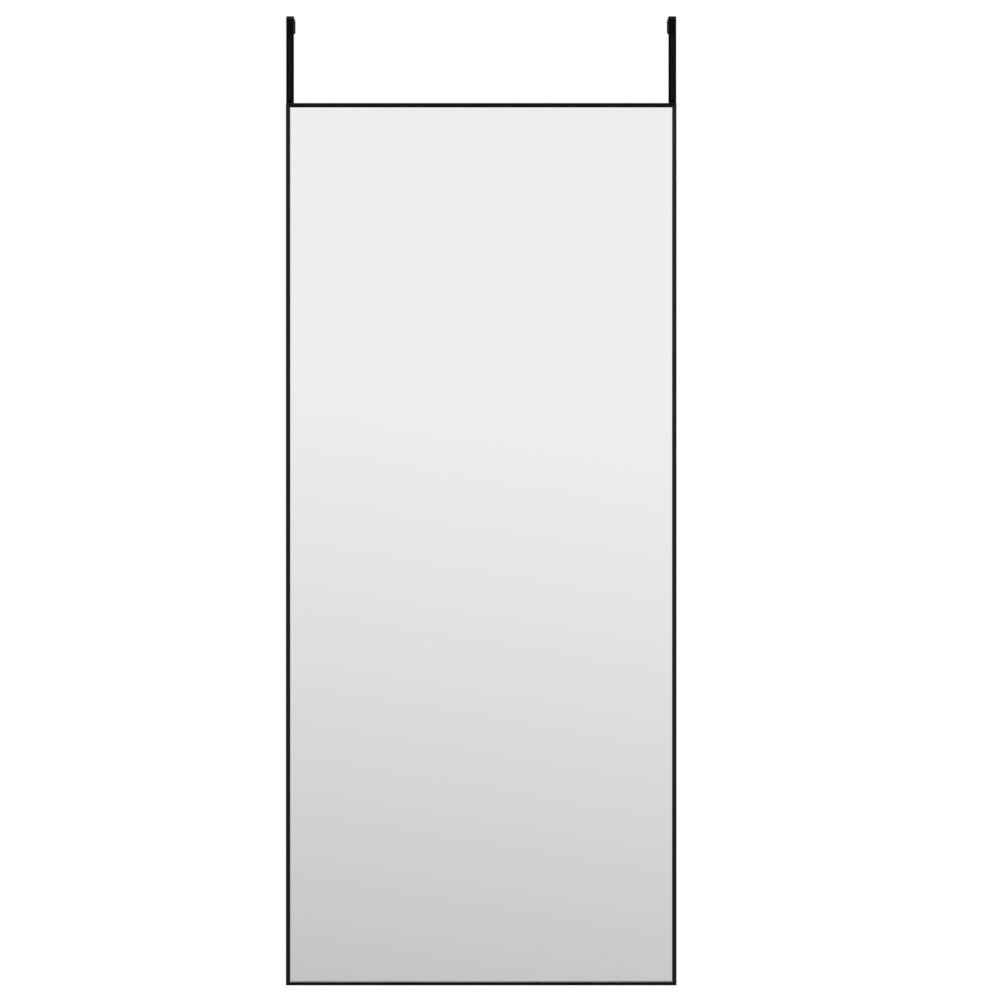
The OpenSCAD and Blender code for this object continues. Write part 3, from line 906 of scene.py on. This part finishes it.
def make_set_screws(tree, finish):
    """Two headless hexagon socket screws in each corner key."""
    point_forward = Matrix.Rotation(math.radians(90), 4, "X")
    start_y = back_y - set_screw_recess
    length = start_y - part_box("set_screws_top_left")[0].y
    slot_in = hook_x - frame_low.x
    tightened = (10, 40)
    hex_corner = hex_key / 2 / math.cos(math.pi / 6)
    for up, edge_z, inwards in (("top", frame_top, -1), ("bottom", frame_bottom, 1)):
        meshes = []
        places = ((hook_x, edge_z + inwards * set_screw_in),
                  (frame_low.x + set_screw_in, edge_z + inwards * slot_in))
        for turn, (x, z) in zip(tightened, places):
            mesh = shaped(tree, finish, length=length, head_radius=0.0, recess_sides=6, blades=1,
                          recess_radius=hex_corner, recess_flatness=1.0, recess_depth=length / 2,
                          recess_taper=0.97)
            mesh.transform(Matrix.Translation((x, start_y, z)) @ point_forward
                           @ Matrix.Rotation(math.radians(turn), 4, "Z"))
            meshes.append(mesh)
        left = joined(meshes)
        for side, mesh in (("right", mirrored(left)), ("left", left)):
            finish_piece(f"socket_screws_{up}_{side}", mesh, f"set_screws_{up}_{side}")


def make_pads(finish):
    """The three pads inside each hook. Each is drawn flat and turned to face the door."""
    tree = pad_tree()
    stand_up = Matrix.Rotation(math.radians(90), 4, "X")
    for name, turn in (("strap_pad", stand_up), ("seat_pad", Matrix()), ("leg_pad", stand_up)):
        low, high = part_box(f"{name}_left")
        size = high - low
        thickness, length = sorted((size.y, size.z))
        mesh = shaped(tree, finish, width=size.x, length=length, thickness=thickness)
        mesh.transform(Matrix.Translation((low + high) / 2) @ turn)
        finish_piece(f"{name}_rubber_right", mirrored(mesh), f"{name}_right")
        finish_piece(f"{name}_rubber_left", mesh, f"{name}_left")


# Painted light: one extrusion in two tones, the uprights lighter as painted sheen from the side lights
# and the level bars darker as painted shade.
make_bars(black_aluminium("black_bar_painted_sheen_upright", "z", 0.020),
          black_aluminium("black_bar_painted_shade_level", "x", 0.0095))
screws = screw_tree()
make_hooks(black_powder_coat())
make_hook_screws(screws, plated_steel("black_screws", (0.045, 0.045, 0.047), 0.35))
make_set_screws(screws, plated_steel("dark_steel", (0.22, 0.22, 0.225), 0.35))
make_corner_keys(plated_steel("zinc_plate", (0.64, 0.65, 0.67), 0.36))
rubber = black_rubber()
make_pads(rubber)
make_bumpers(rubber)

dress(silvered_glass(), "mirror_glass")
dress(fibreboard(), "backing_board")
dress(foam_tape(), "tape_left", "tape_right", "tape_top", "tape_bottom")


# ---------------------------------------------------------------- room

def make_floor():
    """A pale floor at the height of a real one, which fades out at its edge."""
    door_height = 2.03
    reach = 3.5
    corners = 96
    turns = [2 * math.pi * corner / corners for corner in range(corners)]
    ring = [(reach * math.cos(turn), reach * math.sin(turn), -door_height) for turn in turns]
    mesh = bpy.data.meshes.new("floor")
    mesh.from_pydata(ring, [], [tuple(range(corners))])
    floor = bpy.data.objects.new("floor", mesh)
    bpy.context.scene.collection.objects.link(floor)
    material, tree, shader = new_finish("pale_floor", Roughness=0.9, Specular_IOR_Level=0.1)
    x, y, _ = split(tree, object_position(tree))
    fade_from, fade_to = 0.8, reach * 0.96
    fade = add(tree, "ShaderNodeMapRange",
               {"Value": length_of(x, y), "From Min": fade_from, "From Max": fade_to},
               interpolation_type="SMOOTHSTEP")
    speckle = noise(tree, object_position(tree), 60.0)
    tree.links.new(between(tree, speckle, (0.86,) * 3, (0.90,) * 3), shader.inputs["Base Color"])
    clear = add(tree, "ShaderNodeBsdfTransparent")
    fading = add(tree, "ShaderNodeMixShader",
                 {0: fade.outputs[0], 1: shader.outputs[0], 2: clear.outputs[0]})
    tree.links.new(fading.outputs[0], tree.nodes["Material Output"].inputs["Surface"])
    mesh.materials.append(material)


def wall_brightness(tree, height):
    """How bright the studio looks by height: its wall is white down to eye level and greyer from
    there to its foot, and the floor in front of it is paler again."""
    white, darkest, nearest_floor = 0.93, 0.57, 0.78
    eye_level = 0.022
    steepness, curve = 4.25, 1.2
    wall_foot, floor_end = -0.17, -0.8
    below = (eye_level - height).at_least(0.0)
    on_wall = white - below.math("POWER", curve) * steepness
    on_floor = span(tree, height, darkest, nearest_floor, (wall_foot, floor_end))
    return on_wall.at_least(on_floor)


def make_world():
    """White to the camera. Mirrors and metal see a studio wall, and matt surfaces get an even
    light."""
    world = bpy.data.worlds.new("studio")
    bpy.context.scene.world = world
    world.use_nodes = True
    tree = world.node_tree
    tree.nodes.clear()
    direction = add(tree, "ShaderNodeTexCoord").outputs["Generated"]
    x, _, z = split(tree, direction)
    slope = 0.167                             # the grey climbs a little towards the left
    right_share = 0.6                         # the wall is darker at the right
    dimmed = span(tree, x, 1.0, right_share, (0.15, 0.75))
    bright = wall_brightness(tree, z + x * slope) * dimmed
    wall_light = join(tree, bright, bright, bright)
    path = add(tree, "ShaderNodeLightPath")
    seen = Value(tree, path.outputs["Is Camera Ray"])
    shown = Value(tree, path.outputs["Is Glossy Ray"]).at_least(path.outputs["Is Transmission Ray"])
    ambient = 0.58
    even_grey, white = (ambient, ambient, ambient, 1.0), (1.0, 1.0, 1.0, 1.0)
    colour = mixed(tree, seen, mixed(tree, shown, even_grey, wall_light), white)
    background = add(tree, "ShaderNodeBackground", {"Color": colour, "Strength": 1.0})
    add(tree, "ShaderNodeOutputWorld", {"Surface": background.outputs[0]})


def make_lamp(name, place, aim, width, height, power, in_metal=True):
    """A soft lamp that looks from a place at another. Metal shows it, or not."""
    lamp = bpy.data.lights.new(name, "AREA")
    lamp.shape = "RECTANGLE"
    lamp.size, lamp.size_y = width, height
    lamp.energy = power
    holder = bpy.data.objects.new(name, lamp)
    holder.location = place
    holder.rotation_euler = (Vector(aim) - Vector(place)).to_track_quat("-Z", "Y").to_euler()
    holder.visible_glossy = in_metal
    bpy.context.scene.collection.objects.link(holder)


def make_camera():
    """In front of the middle of the object, far off, with the photo's slight sideways framing."""
    picture = 1000                            # pixels, both ways
    pixels_per_metre = 976.7                  # on the front face of the frame
    centre_pixel = 481.2
    distance = 5.25
    sensor = 36.0
    data = bpy.data.cameras.new("camera")
    data.sensor_width = sensor
    data.lens = pixels_per_metre * distance * sensor / picture
    data.shift_x = (picture / 2 - centre_pixel) / picture
    data.clip_start, data.clip_end = 0.1, 100
    camera = bpy.data.objects.new("camera", data)
    camera.location = (0, front_y - distance, (cad_low.z + cad_high.z) / 2)
    camera.rotation_euler = (math.radians(90), 0, 0)
    bpy.context.scene.collection.objects.link(camera)
    bpy.context.scene.camera = camera


make_floor()
make_world()
middle = (0, 0, (cad_low.z + cad_high.z) / 2)
make_lamp("key", (-0.3, -5.4, 5.1), middle, width=1.7, height=1.0, power=240)
for side, strip_x in (("left", -1.6), ("right", 1.6)):
    make_lamp(f"{side}_strip", (strip_x, -1.9, 0.2), (0, 0, frame_top), width=0.4, height=0.7, power=8)
make_lamp("fill", (-2.6, -2.2, 0.2), middle, width=2.4, height=2.4, power=8, in_metal=False)
make_lamp("rear", (1.6, 3.0, 1.2), middle, width=2.4, height=2.4, power=65)
make_camera()
bpy.context.scene.view_settings.view_transform = "Standard"
